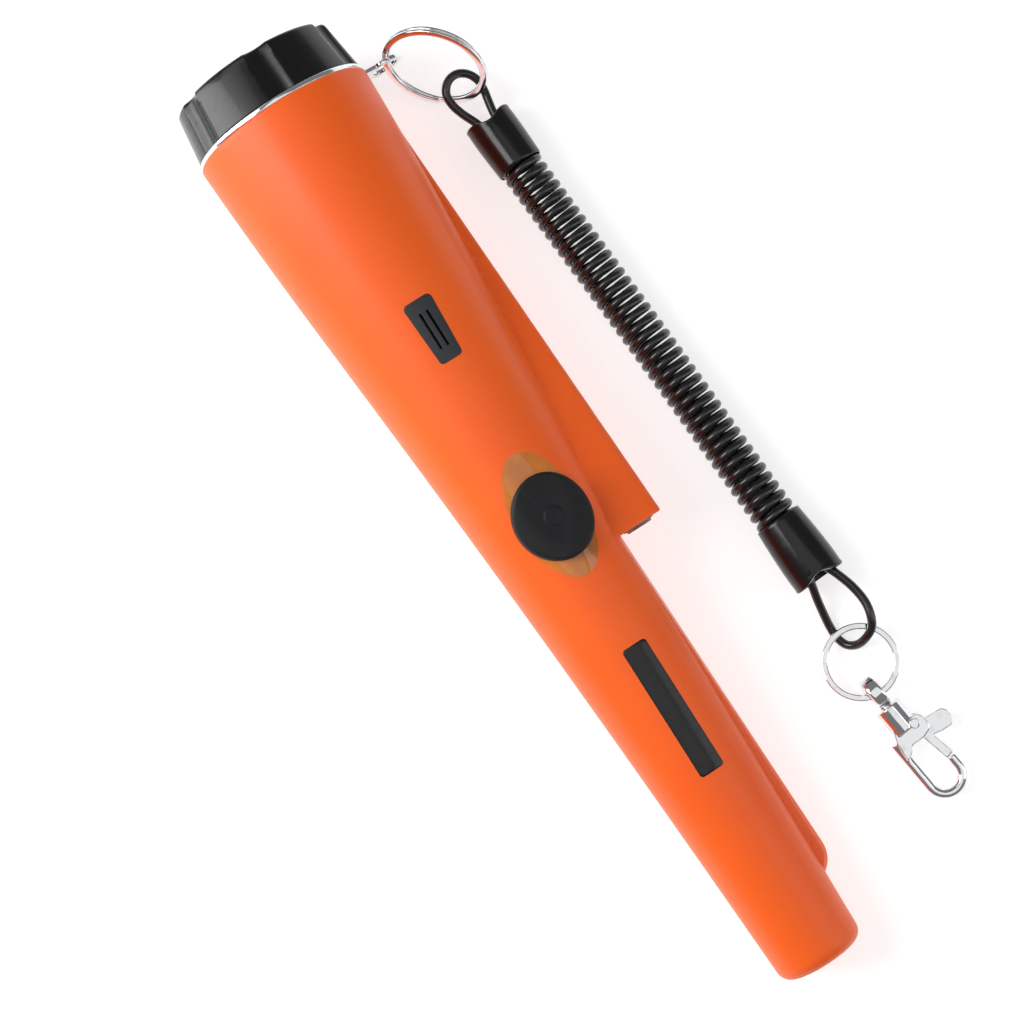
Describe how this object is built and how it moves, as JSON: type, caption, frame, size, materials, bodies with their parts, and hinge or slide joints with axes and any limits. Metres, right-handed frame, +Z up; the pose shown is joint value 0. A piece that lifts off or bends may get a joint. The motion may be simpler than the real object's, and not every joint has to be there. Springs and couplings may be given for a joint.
{
  "type": "pinpointer probe",
  "caption": "Tapered hand-held metal-detecting probe with a side fin, push button, screw cap and a coiled lanyard ending in a swivel clasp.",
  "frame": {"origin": "middle of the probe's footprint, on the surface it lies on", "axes": "+X along the probe towards its sensing tip, +Y towards the fin and the lanyard, +Z up"},
  "size_m": [0.2406, 0.077, 0.0441],
  "materials": {
    "orange_shell": "satin",
    "amber_window": "gloss",
    "grey_plastic": "matt",
    "black_gloss": "gloss",
    "clear_lens": "gloss",
    "bright_reflector": "mirror",
    "plated_steel": "bright",
    "battery_wrap": "satin",
    "black_plastic": "matt",
    "red_wire": "satin",
    "green_board": "satin",
    "blue_sleeve": "satin",
    "steel_screw": "satin",
    "black_rubber": "matt",
    "ferrite": "matt",
    "ivory_plastic": "matt",
    "copper_wire": "gloss",
    "button_rubber": "satin",
    "cord_jacket": "gloss"
  },
  "bodies": {
    "probe": {"housing": "orange_shell", "window": "amber_window", "speaker_grille": "grey_plastic", "badge": "black_gloss", "led_lens": "clear_lens", "led_reflector": "bright_reflector", "led_lamp": "clear_lens", "lanyard_washer": "plated_steel", "battery_case": "battery_wrap", "battery_terminals": "plated_steel", "battery_snap": "black_plastic", "battery_lead_red": "red_wire", "battery_lead_black": "black_plastic", "bulkhead": "grey_plastic", "chassis": "grey_plastic", "circuit_board": "green_board", "main_chip": "black_plastic", "board_capacitors": "blue_sleeve", "board_resistors": "black_plastic", "board_screws": "steel_screw", "tact_switch": "black_plastic", "indicator_leds": "amber_window", "speaker": "grey_plastic", "speaker_gasket": "black_rubber", "vibration_motor": "plated_steel", "rod_holder": "grey_plastic", "ferrite_rod": "ferrite", "coil_bobbin": "ivory_plastic", "coil_winding": "copper_wire", "coil_leads": "copper_wire", "tip_foam": "black_rubber"},
    "button": {"button": "button_rubber", "switch_plunger": "black_plastic"},
    "seal": {"cap_o_ring": "black_rubber"},
    "cap": {"cap": "black_gloss", "battery_pad": "black_rubber"},
    "motor_shaft": {"motor_weight": "steel_screw"},
    "ring_large": {"ring_large": "plated_steel"},
    "lanyard": {"cord_upper_loop": "cord_jacket", "crimp_upper": "plated_steel", "sleeve_upper": "black_gloss", "cord_coil": "cord_jacket", "sleeve_lower": "black_gloss", "crimp_lower": "plated_steel", "cord_lower_loop": "cord_jacket"},
    "ring_small": {"ring_small": "plated_steel"},
    "swivel": {"clasp_swivel": "plated_steel"},
    "clasp": {"clasp_hook": "plated_steel", "clasp_pin": "plated_steel", "lever_spring": "steel_screw"},
    "lever": {"clasp_lever": "plated_steel"}
  },
  "joints": [
    {"name": "button_press", "type": "slide", "parent": "probe", "child": "button", "axis": [-0.0516, -0.1564, -0.9863], "range_m": [0, 0.0009], "stiffness_N_per_m": 1500},
    {"name": "cap_lift", "type": "slide", "parent": "probe", "child": "seal", "axis": [-0.9986, 0, 0.0523], "range_m": [0, 0.0091]},
    {"name": "cap_turn", "type": "hinge", "parent": "seal", "child": "cap", "pos_m": [-0.11926, -0.00464, 0.0229], "axis": [-0.9986, 0, 0.0523], "range_deg": [0, 1080]},
    {"name": "motor_spin", "type": "hinge", "parent": "probe", "child": "motor_shaft", "pos_m": [0.04429, -0.0038, 0.01968], "axis": [0.9986, 0, -0.0523], "continuous": true},
    {"name": "ring_swing", "type": "hinge", "parent": "probe", "child": "ring_large", "pos_m": [-0.10685, 0.02299, 0.01218], "axis": [0, 0, 1], "range_deg": [0, 30]},
    {"name": "lanyard_lift", "type": "hinge", "parent": "ring_large", "child": "lanyard", "pos_m": [-0.0909, 0.0356, 0.00822], "axis": [0, -1, 0], "range_deg": [0, 30]},
    {"name": "small_ring_lift", "type": "hinge", "parent": "lanyard", "child": "ring_small", "pos_m": [0.06052, 0.03956, 0.004], "axis": [0, -1, 0], "range_deg": [0, 10]},
    {"name": "clasp_lift", "type": "hinge", "parent": "ring_small", "child": "swivel", "pos_m": [0.07642, 0.03846, 0.004], "axis": [0.1219, -0.9925, 0], "range_deg": [0, 80]},
    {"name": "clasp_spin", "type": "hinge", "parent": "swivel", "child": "clasp", "pos_m": [0.08237, 0.03919, 0.00373], "axis": [0.9915, 0.1217, -0.0454], "continuous": true},
    {"name": "lever_open", "type": "hinge", "parent": "clasp", "child": "lever", "pos_m": [0.08705, 0.04208, 0.0035], "axis": [-0.045, -0.0055, -0.999], "range_deg": [0, 26], "stiffness_Nm_per_rad": 0.02, "springref_deg": -11.46}
  ],
  "couplings": [
    {"joint": "cap_lift", "follows": "cap_turn", "m_per_rad": 0.00047746}
  ]
}
